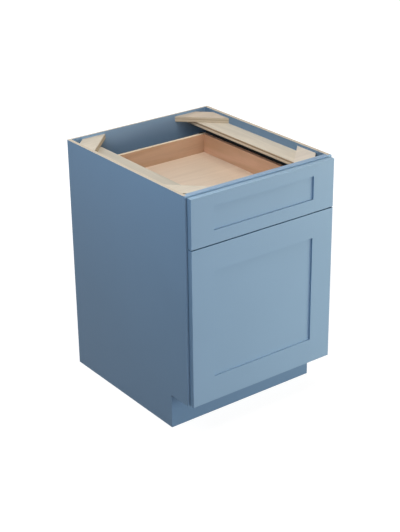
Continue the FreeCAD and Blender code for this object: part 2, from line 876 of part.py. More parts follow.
def door():
    stiles = framed_front("door", "door_base", "door_height", "door_rail_width", "door_rail_width")
    pins = []
    for end, level in (("upper", "upper_hinge"), ("lower", "lower_hinge")):
        cup_hole(stiles[1], end + "_cup_hole", level + " - door_base")
        hinge_cup("hinge_cup_" + end, level)
        hinge_arm("hinge_arm_" + end, level)
        base = level + " - pivot_half_length"
        pins.append(cylinder(
            "pin_" + end,
            "pivot_radius",
            "2 * pivot_half_length",
            ("pivot_across", "pivot_back", base),
        ))
    group("Compound", "hinge_pins", pins)
    high = "door_base + door_height - bumper_inset"
    bumpers("door_bumpers", [("bumper_inset - front_half", up) for up in ("door_base + bumper_inset", high)])


carcass()
shelf()
slides()
drawer()
door()
doc.recompute()

# Every object is sound before anything is written
for thing in doc.Objects:
    if "Invalid" in thing.State or "Error" in thing.State:
        raise RuntimeError("%s failed: %s" % (thing.Name, thing.State))
for piece in nodes:
    if piece.Shape.isNull() or not piece.Shape.isValid():
        raise RuntimeError("%s has no sound shape" % piece.Label)

os.makedirs("parts", exist_ok=True)
for piece in nodes:
    piece.Shape.exportStep("parts/%s.step" % piece.Label)
print("%d pieces written" % len(nodes))
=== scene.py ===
"""Looks of the kitchen base cabinet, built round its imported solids.

Metres, +Z up, fronts towards -Y. The origin lies on the floor, under the middle
of the cabinet's overall box.
"""

import math

import bmesh
import bpy
from mathutils import Matrix, Vector


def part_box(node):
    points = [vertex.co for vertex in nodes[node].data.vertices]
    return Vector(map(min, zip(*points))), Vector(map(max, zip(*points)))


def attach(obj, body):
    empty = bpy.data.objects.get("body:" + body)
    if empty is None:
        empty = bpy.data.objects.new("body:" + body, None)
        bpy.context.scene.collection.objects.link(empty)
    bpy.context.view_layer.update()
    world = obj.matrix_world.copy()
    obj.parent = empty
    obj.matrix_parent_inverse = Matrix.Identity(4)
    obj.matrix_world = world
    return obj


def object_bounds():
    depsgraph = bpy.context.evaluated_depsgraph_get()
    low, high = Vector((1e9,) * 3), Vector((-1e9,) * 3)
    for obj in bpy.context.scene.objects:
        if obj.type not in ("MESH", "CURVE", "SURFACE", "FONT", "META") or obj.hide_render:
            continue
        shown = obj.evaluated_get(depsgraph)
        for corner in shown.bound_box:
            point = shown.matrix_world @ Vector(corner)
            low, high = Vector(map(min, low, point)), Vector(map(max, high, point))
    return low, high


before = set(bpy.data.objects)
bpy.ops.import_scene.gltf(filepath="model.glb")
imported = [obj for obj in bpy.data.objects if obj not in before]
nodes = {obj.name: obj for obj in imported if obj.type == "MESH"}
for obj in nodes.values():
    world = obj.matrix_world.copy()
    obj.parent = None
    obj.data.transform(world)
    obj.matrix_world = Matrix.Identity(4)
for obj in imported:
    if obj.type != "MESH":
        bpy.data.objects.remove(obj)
cad_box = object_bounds()

MM = 0.001
AXES = {"x": 0, "y": 1, "z": 2}
WHITE = (1.0, 1.0, 1.0, 1.0)

# Camera, from the cabinet's corners in the photograph: angles in degrees, place
# in metres, focal length in pixels of the 400 x 532 frame
VIEW_AZIMUTH = -36.672
VIEW_ELEVATION = 24.734
VIEW_ROLL = -0.723
EYE = (-2.5133, -3.3735, 2.3725)
FOCAL_PIXELS = 1309.6
LONG_SIDE_PIXELS = 532
SENSOR_MM = 36.0

# Lamps: azimuth and elevation as seen from the cabinet, in degrees, distance,
# width and height in metres, how bright a white surface that faces the lamp gets,
# and tint
LAMPS = {
    "right_softbox": (50, 4, 2.8, (1.6, 1.0), 0.55, (1.03, 1.0, 0.78)),
    "front_softbox": (2, 4, 2.8, (2.4, 1.0), 0.345, (0.90, 1.0, 1.15)),
    "left_softbox": (-84, 51, 1.9, (1.2, 1.2), 0.345, (0.88, 1.0, 1.14)),
    "overhead_softbox": (0, 82, 3.0, (2.0, 2.0), 0.42, (1.04, 1.0, 0.95)),
    "back_softbox": (186, 30, 3.0, (1.6, 1.6), 0.24, (1.0, 1.0, 1.0)),
}
LAMP_AIM = (0.0, 0.0, 0.45)
AMBIENT_LEVEL = 0.12

# Floor: it lies a little below the cabinet and glows white. The lamps light it by
# a share, which keeps the cabinet's shadow and fades out from the near distance
# to the far one.
FLOOR_HALF_SIZE = 14.0
FLOOR_DROP = 0.2 * MM
FLOOR_SHADOW_SHARE = 0.2
FLOOR_SHADOW_NEAR = 1.0
FLOOR_SHADOW_FAR = 1.8
FLOOR_GLOW = 1.15
FLOOR_BOUNCE_COLOUR = (0.24, 0.24, 0.24, 1.0)

# Paint, as linear colours, and copies of it that paint light and shade on some faces
PAINT = (0.254, 0.370, 0.502, 1.0)
# A deeper, bluer copy of the paint: painted shade on the cabinet's sheets, its inner boards and
# the faces that look sideways
PAINT_SHADED = (0.203, 0.342, 0.506, 1.0)
# Painted shade on the door's faces that look up, in the gap under the drawer front
PAINT_DOOR_TOP_SHADE = (0.095, 0.205, 0.350, 1.0)
# Painted light on the drawer front's faces that look up
PAINT_DRAWER_TOP_LIGHT = (0.300, 0.433, 0.552, 1.0)
# Painted light on the frame's front face, in a strip above the drawer front
PAINT_FRAME_STRIP_LIGHT = (0.355, 0.520, 0.700, 1.0)
# Painted light on the back panel's inner face
PAINT_INSIDE_LIGHT = (0.282, 0.427, 0.603, 1.0)
# Painted shade on the side panels' inner faces
PAINT_INSIDE_SIDES_SHADE = (0.170, 0.267, 0.383, 1.0)
# Painted shade: near black on the sides' inner faces behind the slides
PAINT_SHADE_BEHIND_SLIDES = (0.090, 0.095, 0.095, 1.0)
# Painted shade in the toe space: the toe board and the sides' notch edges
PAINT_TOE_SHADE = (0.153, 0.250, 0.380, 1.0)

# Raw plywood: its faces, and the layers at its edges
PLY_FACE = (0.67, 0.58, 0.455, 1.0)
PLY_FACE_GRAIN = (0.60, 0.51, 0.39, 1.0)
# Copies of the plywood face for the side rails: a lighter one, painted light on the right rail,
# and a deeper one, painted shade on the left rail
PLY_FACE_LIT = (0.70, 0.615, 0.49, 1.0)
PLY_FACE_SHADED = (0.54, 0.475, 0.375, 1.0)
PLY_FACE_PINK = (0.745, 0.65, 0.54, 1.0)
PLY_FACE_TAN = (0.63, 0.515, 0.395, 1.0)
BLOCK_TONES = {
    "corner_block_front_left": PLY_FACE,
    "corner_block_front_right": PLY_FACE_PINK,
    "corner_block_back_left": PLY_FACE,
    "corner_block_back_right": PLY_FACE_TAN,
}
PLY_LIGHT = (0.66, 0.55, 0.40, 1.0)
PLY_MIDDLE = (0.52, 0.40, 0.27, 1.0)
PLY_DARK = (0.27, 0.17, 0.09, 1.0)
RAIL_PLIES = [
    (0.00, PLY_MIDDLE),
    (0.10, PLY_MIDDLE),
    (0.14, PLY_LIGHT),
    (0.52, PLY_LIGHT),
    (0.57, PLY_DARK),
    (0.80, PLY_DARK),
    (0.84, PLY_MIDDLE),
    (1.00, PLY_LIGHT),
]
BLOCK_PLIES = [
    (0.00, PLY_MIDDLE),
    (0.08, PLY_MIDDLE),
    (0.14, PLY_LIGHT),
    (0.42, PLY_LIGHT),
    (0.48, PLY_MIDDLE),
    (0.64, PLY_MIDDLE),
    (0.70, PLY_LIGHT),
    (1.00, PLY_LIGHT),
]
SIDE_PLY_COUNT = 7
BACK_PLY_COUNT = 5

# The drawer box's wood
DRAWER_WOOD = (0.68, 0.405, 0.260, 1.0)
DRAWER_GRAIN = (0.58, 0.335, 0.197, 1.0)
# Painted shade on the upper edges of the drawer box's sides
DRAWER_EDGE_SHADE = (0.50, 0.30, 0.21, 1.0)
DRAWER_END_WOOD = (0.715, 0.475, 0.322, 1.0)
DRAWER_END_GRAIN = (0.62, 0.395, 0.25, 1.0)
DRAWER_END_EDGE = (0.88, 0.72, 0.52, 1.0)
# Painted light: the drawer box's ends grow lighter towards their upper edges by this much
DRAWER_END_LIGHT_LIFT = 1.19
DRAWER_BOTTOM = (0.77, 0.612, 0.465, 1.0)
DRAWER_BOTTOM_GRAIN = (0.71, 0.556, 0.415, 1.0)

# Metals: tone, duller tone, the axis that the roll's lines follow, roughness
ZINC = (0.56, 0.57, 0.58, 1.0)
ZINC_DULL = (0.44, 0.45, 0.46, 1.0)
NICKEL = (0.66, 0.64, 0.60, 1.0)
NICKEL_DULL = (0.52, 0.50, 0.46, 1.0)
BALL_STEEL = (0.74, 0.74, 0.75, 1.0)
METALS = {
    "zinc_plate": (ZINC, ZINC_DULL, "y", 0.34),
    "zinc_screws": (ZINC, ZINC_DULL, "z", 0.34),
    "nickel_plate": (NICKEL, NICKEL_DULL, "z", 0.24),
    "nickel_screws": (NICKEL, NICKEL_DULL, "z", 0.28),
    "bright_balls": (BALL_STEEL, ZINC, "z", 0.16),
}
CLEAR_RUBBER = (0.72, 0.74, 0.74, 1.0)

# What the materials are made with. Waves are to the metre: one number for every
# axis, or those across the grain and along it. Shares, masks and roughnesses are
# ranges for a remap: low and high of what it reads, then of what it makes, which
# is nought to one where nothing else is said. Bumps are a distance and a strength.
FACING_MASK = (0.4, 0.6)
EDGE_MASK = (0.82, 0.99, 1.0, 0.0)
EDGE_SAMPLES = 6

PAINT_GLOSS = 0.22
PAINT_EASING = 0.8 * MM
PAINT_LIGHTER = 1.04
PAINT_DEEPER = 0.95
# How much lighter the painted highlight along eased edges is
PAINT_EDGE_HIGHLIGHT = 1.3
PAINT_DRIFT_WAVES = 3.0
PAINT_FIBRE_WAVES = (260.0, 9.0)
PAINT_FIBRE_SHARE = (0.55, 0.8, 0.0, 0.16)
PAINT_EDGE_HIGHLIGHT_SHARE = (0.35, 0.7, 0.15, 0.7)
PAINT_FIBRE_BUMP = (0.06 * MM, 0.4)
PAINT_PEEL_WAVES = 420.0
PAINT_PEEL_BUMP = (0.05 * MM, 0.5)
PAINT_ROUGHNESS = (0.3, 0.7, 0.36, 0.46)
# How far below the drawer front's top the frame's painted light strip starts, and how far it fades
# in
FRAME_LIGHT_STRIP_REACH = 2.0 * MM
FRAME_LIGHT_STRIP_FADE = 1.0 * MM
# How far the painted shade behind the slides fades in above its low level and out below its high
# one
SLIDE_SHADE_LOW_FADE = 8.0 * MM
SLIDE_SHADE_HIGH_FADE = 1.0 * MM

WOOD_EASING = 0.5 * MM
WOOD_DEEPER = 0.86
WOOD_FIGURE_WAVES = (26.0, 2.2)
WOOD_FIGURE_BEND = 1.6
WOOD_FIGURE_SHARE = (0.35, 0.7)
WOOD_FIBRE_WAVES = (700.0, 14.0)
WOOD_FIBRE_SHARE = (0.5, 0.8, 0.0, 0.6)
WOOD_FIBRE_BUMP = (0.08 * MM, 0.5)
WOOD_EDGE_SHARE = 0.3
RAW_WOOD_ROUGHNESS = (0.3, 0.8, 0.55, 0.7)
LACQUER_ROUGHNESS = (0.3, 0.8, 0.3, 0.42)

PLY_WAVER_WAVES = 18.0
PLY_WAVER_RANGE = (0.0, 1.0, -0.25 * MM, 0.25 * MM)
GLUE_LINE_BLEND = 0.012
PLY_FIBRE_SHARE = (0.4, 0.8, 0.0, 0.35)
RAW_TOP_WAVES = 420.0
RAW_TOP_SHARE = (0.2, 0.8, 0.35, 0.8)
RAW_TOP_LOW = 0.6 * MM
RAW_TOP_HIGH = 0.3 * MM

METAL_MOTTLE_WAVES = 90.0
METAL_MOTTLE_SHARE = (0.3, 0.75)
METAL_MOTTLE_READ = (0.3, 0.7)
METAL_SMOOTHER = 0.06
METAL_ROUGHER = 0.1
METAL_LINE_WAVES = (1500.0, 12.0)
METAL_LINE_BUMP = (0.02 * MM, 0.4)

RUBBER_CLEARNESS = 0.45
RUBBER_DIMMER = 0.85
RUBBER_CLOUD_WAVES = 500.0
RUBBER_CLOUD_BUMP = (0.05 * MM, 0.4)
RUBBER_ROUGHNESS = (0.3, 0.7, 0.25, 0.4)

# Screws: heads, shanks and where they sit on the sheet that they hold. The
# shoulder is a share of the head's rise, the rim and the cross of its radius.
SCREW_STEPS = 24
SCREW_SHOULDER = 0.45
SCREW_RIM = 0.72
CROSS_REACH = 0.52
CROSS_HALF_WIDTH = 0.13
RECESS_DEPTH = 0.9 * MM
SHANK_RADIUS = 1.5 * MM
SHANK_DEPTH = 3.0 * MM
HINGE_SCREW_RADIUS = 3.6 * MM
HINGE_SCREW_RISE = 1.0 * MM
SLIDE_SCREW_RADIUS = 2.05 * MM
SLIDE_SCREW_RISE = 0.15 * MM
PAN_SCREW_RADIUS = 4.2 * MM
PAN_SCREW_RISE = 2.0 * MM
PLATE_SCREW_INSET = 7.5 * MM
PLATE_SCREW_SPACING = 32.0 * MM
CUP_RADIUS = 17.5 * MM
WING_OFFSET = 9.5 * MM
WING_SCREW_SPACING = 45.0 * MM
SLIDE_SHEET = 1.2 * MM
SLIDE_SCREW_INSET = 7.525 * MM
SLIDE_SCREW_SPACING = 16.0 * MM
SOCKET_SHEET = 1.5 * MM
SOCKET_SCREW_INSET = 10.0 * MM
SOCKET_SCREW_SPACING = 20.0 * MM
FRONT_SCREW_INSET = 21.3 * MM
FRONT_SCREW_LEVELS = (0.3, 0.7)

# Balls of each cage: the body they ride on, their radius, and how far their
# centres lie inside the cage's height and outside its inner edge
BALL_ROWS = {
    "outer": ("ball_cages_outer", 1.7 * MM, 0.22 * MM, 3.2 * MM),
    "inner": ("ball_cages_inner", 1.5 * MM, 0.25 * MM, 1.0 * MM),
}
BALLS_IN_ROW = 14
BALL_END_SPACE = 8.0 * MM
BALL_SEGMENTS = 12
BALL_RINGS = 8


# Node trees and materials

class Nodes:
    """A node tree, with short calls for the nodes that it is made of."""

    def __init__(self, tree):
        self.tree = tree

    def add(self, kind, **settings):
        made = self.tree.nodes.new(kind)
        for name, value in settings.items():
            setattr(made, name, value)
        return made

    def feed(self, socket, value):
        if isinstance(value, bpy.types.NodeSocket):
            self.tree.links.new(value, socket)
        else:
            socket.default_value = value

    def result(self, kind, inputs, output=0, **settings):
        """An output of a new node, whose inputs are fed by their names or numbers."""
        node = self.add(kind, **settings)
        for key, value in inputs.items():
            self.feed(node.inputs[key], value)
        return node.outputs[output]

    def maths(self, operation, first, second=0.0):
        return self.result("ShaderNodeMath", {0: first, 1: second}, operation=operation)

    def remap(self, value, low, high, to_low=0.0, to_high=1.0):
        inputs = {
            "Value": value, "From Min": low, "From Max": high, "To Min": to_low, "To Max": to_high,
        }
        return self.result("ShaderNodeMapRange", inputs, "Result", clamp=True)

    def either(self, share, first, second):
        """The first shader where the share is nought, the second where it is one."""
        return self.result("ShaderNodeMixShader", {0: share, 1: first, 2: second})


class Shade(Nodes):
    """The material of a piece: a Principled shader and what feeds it."""

    def __init__(self, name, metallic=0.0, gloss=0.5):
        self.material = bpy.data.materials.new(name)
        self.material.use_nodes = True
        super().__init__(self.material.node_tree)
        self.shader = self.tree.nodes["Principled BSDF"]
        self.shader.inputs["Metallic"].default_value = metallic
        self.shader.inputs["Specular IOR Level"].default_value = gloss
        coordinates = self.add("ShaderNodeTexCoord")
        self.place = coordinates.outputs["Object"]
        self.normal = coordinates.outputs["Normal"]

    def noise(self, waves, grain=None, detail=3.0, roughness=0.5, distortion=0.0):
        """Noise with so many waves to the metre, for every axis, or with a grain for
        those across it and the one along it."""
        across, along = (waves, waves) if grain is None else waves
        stretch = tuple(along if axis == grain else across for axis in AXES)
        place = self.result("ShaderNodeMapping", {"Scale": stretch, "Vector": self.place})
        inputs = {
            "Vector": place, "Scale": 1.0, "Detail": detail, "Roughness": roughness,
            "Distortion": distortion,
        }
        return self.result("ShaderNodeTexNoise", inputs, "Fac")

    def mix(self, share, first, second, blend="MIX"):
        node = self.add("ShaderNodeMix", data_type="RGBA", blend_type=blend)
        colours = [socket for socket in node.inputs if socket.type == "RGBA"]
        self.feed(node.inputs["Factor"], share)
        self.feed(colours[0], first)
        self.feed(colours[1], second)
        return [socket for socket in node.outputs if socket.type == "RGBA"][0]

    def turned(self, share, colour, base, tone):
        """The colour, turned from its base towards a tone as far as the share says."""
        ratio = tuple(to / part for to, part in zip(tone[:3], base[:3])) + (1.0,)
        return self.mix(share, colour, ratio, "MULTIPLY")

    def ramp(self, value, stops):
        node = self.add("ShaderNodeValToRGB")
        elements = node.color_ramp.elements
        while len(elements) < len(stops):
            elements.new(1.0)
        for element, (position, colour) in zip(elements, stops):
            element.position = position
            element.color = colour
        self.feed(node.inputs["Fac"], value)
        return node.outputs["Color"]

    def part(self, vector, axis):
        return self.result("ShaderNodeSeparateXYZ", {0: vector}, AXES[axis])

    def facing(self, axis, way):
        """One on the faces that look along the axis, the way being +1 or -1."""
        return self.remap(self.maths("MULTIPLY", self.part(self.normal, axis), way), *FACING_MASK)

    def bump(self, height, distance, strength, under=None):
        inputs = {"Strength": strength, "Distance": distance, "Height": height}
        if under is not None:
            inputs["Normal"] = under
        return self.result("ShaderNodeBump", inputs, "Normal")

    def soft_edges(self, radius):
        """The normal as if every edge were eased by `radius`, and a mask that is one
        along those edges and nought on the flat."""
        eased = self.result("ShaderNodeBevel", {"Radius": radius}, samples=EDGE_SAMPLES)
        flat = self.add("ShaderNodeNewGeometry").outputs["Normal"]
        match = self.result(
            "ShaderNodeVectorMath", {0: eased, 1: flat}, "Value", operation="DOT_PRODUCT",
        )
        return eased, self.remap(match, *EDGE_MASK)

    def finish(self, colour, roughness, normal):
        self.feed(self.shader.inputs["Base Color"], colour)
        self.feed(self.shader.inputs["Roughness"], roughness)
        self.feed(self.shader.inputs["Normal"], normal)
        return self.material


def scaled(tone, factor):
    """The tone made lighter or deeper, each part one at most."""
    return tuple(min(1.0, part * factor) for part in tone[:3]) + (1.0,)


def paint_coat(shade, grain, tone):
    """Sprayed satin paint: a faint drift of tone, grain that just shows through, the
    orange peel of the spray, and a painted highlight along the eased edges, broken up
    by the grain."""
    drift = shade.noise(PAINT_DRIFT_WAVES, detail=2.0)
    fibres = shade.noise(PAINT_FIBRE_WAVES, grain, detail=4.0)
    peel = shade.noise(PAINT_PEEL_WAVES, detail=2.0)
    deep = scaled(tone, PAINT_DEEPER)
    eased, edge = shade.soft_edges(PAINT_EASING)
    colour = shade.mix(drift, deep, scaled(tone, PAINT_LIGHTER))
    colour = shade.mix(shade.remap(fibres, *PAINT_FIBRE_SHARE), colour, deep)
    # Painted highlight: the eased edges lighter where the grain lets it show
    edge_highlight = shade.maths("MULTIPLY", edge, shade.remap(fibres, *PAINT_EDGE_HIGHLIGHT_SHARE))
    colour = shade.mix(edge_highlight, colour, scaled(tone, PAINT_EDGE_HIGHLIGHT))
    normal = shade.bump(peel, *PAINT_PEEL_BUMP, under=eased)
    normal = shade.bump(fibres, *PAINT_FIBRE_BUMP, under=normal)
    return colour, shade.remap(peel, *PAINT_ROUGHNESS), normal


def painted(name, grain, tone=PAINT):
    shade = Shade(name, gloss=PAINT_GLOSS)
    return shade.finish(*paint_coat(shade, grain, tone))


def painted_front(name, grain, top=PAINT, light_strip_low=None):
    """Paint of the door, the drawer front and the frame. The faces that look to a side
    are deeper and bluer, a painted shade; those that look up take the `top` tone,
    painted shade on the door and painted light on the drawer front; and a frame's
    face above the level given for it is lighter, a painted light."""
    shade = Shade(name, gloss=PAINT_GLOSS)
    paint, roughness, normal = paint_coat(shade, grain, PAINT)
    for way in (-1, 1):
        # Painted shade: faces that look to either side take the deeper, bluer copy
        paint = shade.turned(shade.facing("x", way), paint, PAINT, PAINT_SHADED)
    paint = shade.turned(shade.facing("z", 1), paint, PAINT, top)
    # Painted light: the frame's front face lighter above the given level
    if light_strip_low is not None:
        level = shade.part(shade.place, "z")
        above = shade.remap(level, light_strip_low, light_strip_low + FRAME_LIGHT_STRIP_FADE)
        light_strip = shade.maths("MULTIPLY", shade.facing("y", -1), above)
        paint = shade.turned(light_strip, paint, PAINT, PAINT_FRAME_STRIP_LIGHT)
    return shade.finish(paint, roughness, normal)


def veneer(shade, grain, tone, grain_tone):
    """Sanded wood: broad figure, fine fibres and pores along the grain."""
    figure = shade.noise(WOOD_FIGURE_WAVES, grain, detail=2.0, distortion=WOOD_FIGURE_BEND)
    fibres = shade.noise(WOOD_FIBRE_WAVES, grain, detail=4.0, roughness=0.65)
    deep = scaled(grain_tone, WOOD_DEEPER)
    eased, edge = shade.soft_edges(WOOD_EASING)
    colour = shade.mix(shade.remap(figure, *WOOD_FIGURE_SHARE), tone, grain_tone)
    colour = shade.mix(shade.remap(fibres, *WOOD_FIBRE_SHARE), colour, deep)
    colour = shade.mix(shade.maths("MULTIPLY", edge, WOOD_EDGE_SHARE), colour, deep)
    return colour, fibres, shade.bump(fibres, *WOOD_FIBRE_BUMP, under=eased)


def plies(shade, axis, low, high, stops):
    """The layers that an edge shows, along the sheet's thickness."""
    waver = shade.noise(PLY_WAVER_WAVES, detail=2.0)
    shift = shade.remap(waver, *PLY_WAVER_RANGE)
    across = shade.maths("ADD", shade.part(shade.place, axis), shift)
    return shade.ramp(shade.remap(across, low, high), stops)


def layer_stops(count):
    """Alternating light and dark plies, `count` in all, with narrow glue lines."""
    stops = []
    for layer in range(count):
        colour = PLY_DARK if layer % 2 else PLY_LIGHT
        start, end = layer / count, (layer + 1) / count
        stops += [(start + GLUE_LINE_BLEND, colour), (end - GLUE_LINE_BLEND, colour)]
    return stops


def raw_plywood(node, grain, stops, tone):
    """A sheet that lies flat, with its layers open all round."""
    low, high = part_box(node)
    shade = Shade("raw_" + node)
    face, fibres, normal = veneer(shade, grain, tone, scaled(tone, WOOD_DEEPER))
    edge = plies(shade, "z", low.z, high.z, stops)
    edge = shade.mix(shade.remap(fibres, *PLY_FIBRE_SHARE), edge, PLY_FACE_GRAIN)
    upright = shade.maths("ABSOLUTE", shade.part(shade.normal, "z"))
    colour = shade.mix(shade.remap(upright, *FACING_MASK), edge, face)
    return shade.finish(colour, shade.remap(fibres, *RAW_WOOD_ROUGHNESS), normal)


def painted_sheet(node, axis, inward, ply_count, inside, front=None, slide_shade_levels=None):
    """An upright painted sheet whose top edge is left raw. Its coat is the paint's
    deeper, bluer copy, a painted shade. The face that looks `inward`, +1 or -1 along
    the sheet's axis, takes the `inside` tone: painted light on the back panel,
    painted shade on the sides. Where a `front` tone is given, the edges that look to
    the front take it: painted shade in the toe space. Between the two levels given
    for the slide, the inward face is darker still: painted shade behind the slide."""
    low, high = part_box(node)
    shade = Shade("paint_" + node, gloss=PAINT_GLOSS)
    level = shade.part(shade.place, "z")
    # The coat in the paint's deeper, bluer copy: painted shade
    paint, roughness, normal = paint_coat(shade, "z", PAINT_SHADED)
    # The inward face in its own tone: painted light on the back panel, painted shade on the sides
    paint = shade.turned(shade.facing(axis, inward), paint, PAINT_SHADED, inside)
    # Painted shade: the inward face near black between the slide's levels
    if slide_shade_levels is not None:
        slide_shade_low, slide_shade_high = slide_shade_levels
        above = shade.remap(level, slide_shade_low, slide_shade_low + SLIDE_SHADE_LOW_FADE)
        below = shade.remap(level, slide_shade_high - SLIDE_SHADE_HIGH_FADE, slide_shade_high, 1.0, 0.0)
        slide_shade = shade.maths("MULTIPLY", above, below)
        slide_shade = shade.maths("MULTIPLY", slide_shade, shade.facing(axis, inward))
        paint = shade.turned(slide_shade, paint, inside, PAINT_SHADE_BEHIND_SLIDES)
    # Painted shade on the faces that look to the front: the notch edges in the toe space
    if front is not None:
        paint = shade.turned(shade.facing("y", -1), paint, PAINT_SHADED, front)
    number = AXES[axis]
    edge = plies(shade, axis, low[number], high[number], layer_stops(ply_count))
    fibres = shade.noise(RAW_TOP_WAVES)
    edge = shade.mix(shade.remap(fibres, *RAW_TOP_SHARE), edge, PLY_FACE)
    on_top = shade.remap(level, high.z - RAW_TOP_LOW, high.z - RAW_TOP_HIGH)
    raw = shade.maths("MULTIPLY", shade.facing("z", 1), on_top)
    return shade.finish(shade.mix(raw, paint, edge), roughness, normal)


def lacquered(shade, grain, tone, grain_tone):
    colour, fibres, normal = veneer(shade, grain, tone, grain_tone)
    return colour, shade.remap(fibres, *LACQUER_ROUGHNESS), normal


def drawer_board(name, node, grain, tone, grain_tone, edge_tone, light_lift=1.0):
    """Lacquered wood, with its own tone on an upper edge, which on the drawer's sides is a
    painted shade. Towards that edge it is lighter by the given lift, a painted light."""
    low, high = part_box(node)
    shade = Shade(name)
    colour, roughness, normal = lacquered(shade, grain, tone, grain_tone)
    rise = shade.remap(shade.part(shade.place, "z"), (low.z + high.z) / 2, high.z)
    # Painted light: lighter towards the upper edge
    colour = shade.mix(rise, colour, (light_lift, light_lift, light_lift, 1.0), "MULTIPLY")
    colour = shade.turned(shade.facing("z", 1), colour, tone, edge_tone)
    return shade.finish(colour, roughness, normal)


def drawer_sheet(name, grain):
    shade = Shade(name)
    return shade.finish(*lacquered(shade, grain, DRAWER_BOTTOM, DRAWER_BOTTOM_GRAIN))


def plated(name):
    """Plated sheet: faint mottling, and the lines of the roll along it."""
    tone, dull, grain, roughness = METALS[name]
    shade = Shade(name, metallic=1.0)
    mottle = shade.noise(METAL_MOTTLE_WAVES)
    lines = shade.noise(METAL_LINE_WAVES, grain, detail=2.0)
    colour = shade.mix(shade.remap(mottle, *METAL_MOTTLE_SHARE), tone, dull)
    smooth, rough = roughness - METAL_SMOOTHER, roughness + METAL_ROUGHER
    roughness = shade.remap(mottle, *METAL_MOTTLE_READ, smooth, rough)
    return shade.finish(colour, roughness, shade.bump(lines, *METAL_LINE_BUMP))


def clear_rubber(name):
    shade = Shade(name)
    shade.shader.inputs["Transmission Weight"].default_value = RUBBER_CLEARNESS
    cloud = shade.noise(RUBBER_CLOUD_WAVES, detail=2.0)
    colour = shade.mix(cloud, CLEAR_RUBBER, scaled(CLEAR_RUBBER, RUBBER_DIMMER))
    roughness = shade.remap(cloud, *RUBBER_ROUGHNESS)
    return shade.finish(colour, roughness, shade.bump(cloud, *RUBBER_CLOUD_BUMP))


def dress(names, material):
    """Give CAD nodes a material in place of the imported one."""
    for name in names:
        node = nodes[name]
        node.data.materials.clear()
        node.data.materials.append(material)


def named(*beginnings):
    return [name for name in nodes if name.startswith(beginnings)]


def dress_fronts():
    # The faces that look up: painted shade on the door's, painted light on the drawer front's
    for group, top in (("door", PAINT_DOOR_TOP_SHADE), ("drawer_front", PAINT_DRAWER_TOP_LIGHT)):
        stiles = [group + "_left_stile", group + "_right_stile"]
        dress(stiles, painted_front("paint_" + group + "_stiles", "z", top))
        dress([group + "_top_rail"], painted_front("paint_" + group + "_top_rail", "x", top))
    low_rails = ["door_bottom_rail", "drawer_front_bottom_rail", "drawer_front_panel"]
    dress(low_rails, painted_front("paint_low_rails", "x"))
    dress(["door_panel"], painted("paint_door_panel", "z"))


def dress_carcass():
    # Painted light on the frame's front face, from a little below the drawer front's top
    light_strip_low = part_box("drawer_front_top_rail")[1].z - FRAME_LIGHT_STRIP_REACH
    stiles = ["frame_left_stile", "frame_right_stile"]
    dress(stiles, painted_front("paint_frame_stiles", "z", light_strip_low=light_strip_low))
    rails = ["frame_top_rail", "frame_middle_rail", "frame_bottom_rail"]
    dress(rails, painted_front("paint_frame_rails", "x", light_strip_low=light_strip_low))
    # The slide's levels, between which shade is painted on the sides' inner faces
    slide_shade_levels = [corner.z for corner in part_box("slide_cabinet_member_left")]
    # The rails take the lit and shaded copies of the plywood face: painted light and shade
    for side, inward, rail_tone in (("left", 1, PLY_FACE_SHADED), ("right", -1, PLY_FACE_LIT)):
        name = side + "_side_panel"
        coat = painted_sheet(
            name, "x", inward, SIDE_PLY_COUNT, PAINT_INSIDE_SIDES_SHADE, front=PAINT_TOE_SHADE, slide_shade_levels=slide_shade_levels,
        )
        dress([name], coat)
        name = side + "_side_rail"
        dress([name], raw_plywood(name, "y", RAIL_PLIES, rail_tone))
    dress(["back_panel"], painted_sheet("back_panel", "y", -1, BACK_PLY_COUNT, PAINT_INSIDE_LIGHT))
    # The floor and the shelf in the paint's deeper, bluer copy: painted shade
    dress(["cabinet_floor", "shelf"], painted("paint_boards", "x", PAINT_SHADED))
    # The toe board in painted shade
    dress(["toe_kick_board"], painted("paint_toe_board", "x", PAINT_TOE_SHADE))
    for name in named("corner_block_"):
        dress([name], raw_plywood(name, "x", BLOCK_PLIES, BLOCK_TONES[name]))


def dress_drawer_box():
    sides = ["drawer_box_left_side", "drawer_box_right_side"]
    tones = (DRAWER_WOOD, DRAWER_GRAIN, DRAWER_EDGE_SHADE)
    dress(sides, drawer_board("drawer_wood_sides", sides[0], "y", *tones))
    ends = ["drawer_box_front", "drawer_box_back"]
    tones = (DRAWER_END_WOOD, DRAWER_END_GRAIN, DRAWER_END_EDGE)
    dress(ends, drawer_board("drawer_wood_ends", ends[0], "x", *tones, DRAWER_END_LIGHT_LIFT))
    dress(["drawer_box_bottom"], drawer_sheet("drawer_sheet", "x"))


def dress_hardware():
    dress(named("slide_", "ball_cage_"), plated("zinc_plate"))
    dress(named("hinge_") + ["shelf_pins"], plated("nickel_plate"))
    dress(["door_bumpers", "drawer_bumpers"], clear_rubber("clear_rubber"))


# Screws and slide balls

def ringed(work, radius, height):
    turns = [2 * math.pi * step / SCREW_STEPS for step in range(SCREW_STEPS)]
    return [
        work.verts.new((radius * math.cos(turn), radius * math.sin(turn), height))
        for turn in turns
    ]


def neighbours(ring):
    """Each member of a closed ring with the one after it."""
    return list(zip(ring, ring[1:] + ring[:1]))


def joined(work, below, above):
    for (start, end), (start_above, end_above) in zip(neighbours(below), neighbours(above)):
        work.faces.new((start, end, end_above, start_above))


def cross_outline(arm, half):
    """A cross with arms of that reach and half width, anticlockwise."""
    quarter = [(arm, -half), (arm, half), (half, half)]
    outline = []
    for turn in range(4):
        outline += quarter
        quarter = [(-y, x) for x, y in quarter]
    return outline


def finished_mesh(work, name, material):
    mesh = bpy.data.meshes.new(name)
    work.to_mesh(mesh)
    work.free()
    mesh.materials.append(material)
    return mesh


